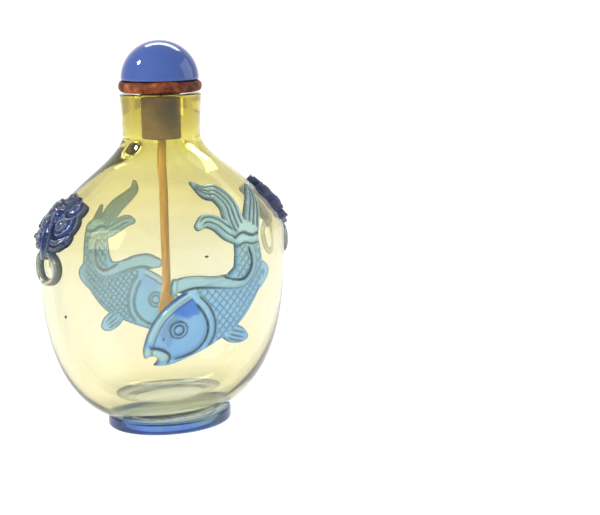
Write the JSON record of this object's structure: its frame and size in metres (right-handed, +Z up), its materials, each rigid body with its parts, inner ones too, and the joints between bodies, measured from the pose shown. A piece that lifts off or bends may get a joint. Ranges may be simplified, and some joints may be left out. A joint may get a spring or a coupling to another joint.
{
  "type": "snuff bottle",
  "caption": "Flattened glass snuff bottle, cased and carved with carp, lion masks and rings, with a domed stopper and spoon.",
  "frame": {"origin": "middle of the foot's underside, on the surface that the bottle stands on", "axes": "+Z up through the neck, +Y across the flattened body towards the back carp, +X along its wide side"},
  "size_m": [0.0516, 0.0359, 0.0717],
  "materials": {
    "yellow_glass": "polished pale yellow glass",
    "blue_overlay": "carved and polished blue casing glass, fused to the yellow body",
    "dome_glass": "polished, nearly opaque blue glass",
    "collar_leather": "mottled reddish brown",
    "cork": "darkened cork",
    "spoon_bone": "amber-coloured bone, smooth"
  },
  "bodies": {
    "root": {"bottle": "yellow_glass", "stopper_dome": "dome_glass", "stopper_collar": "collar_leather", "cork": "cork", "spoon": "spoon_bone"}
  },
  "joints": []
}
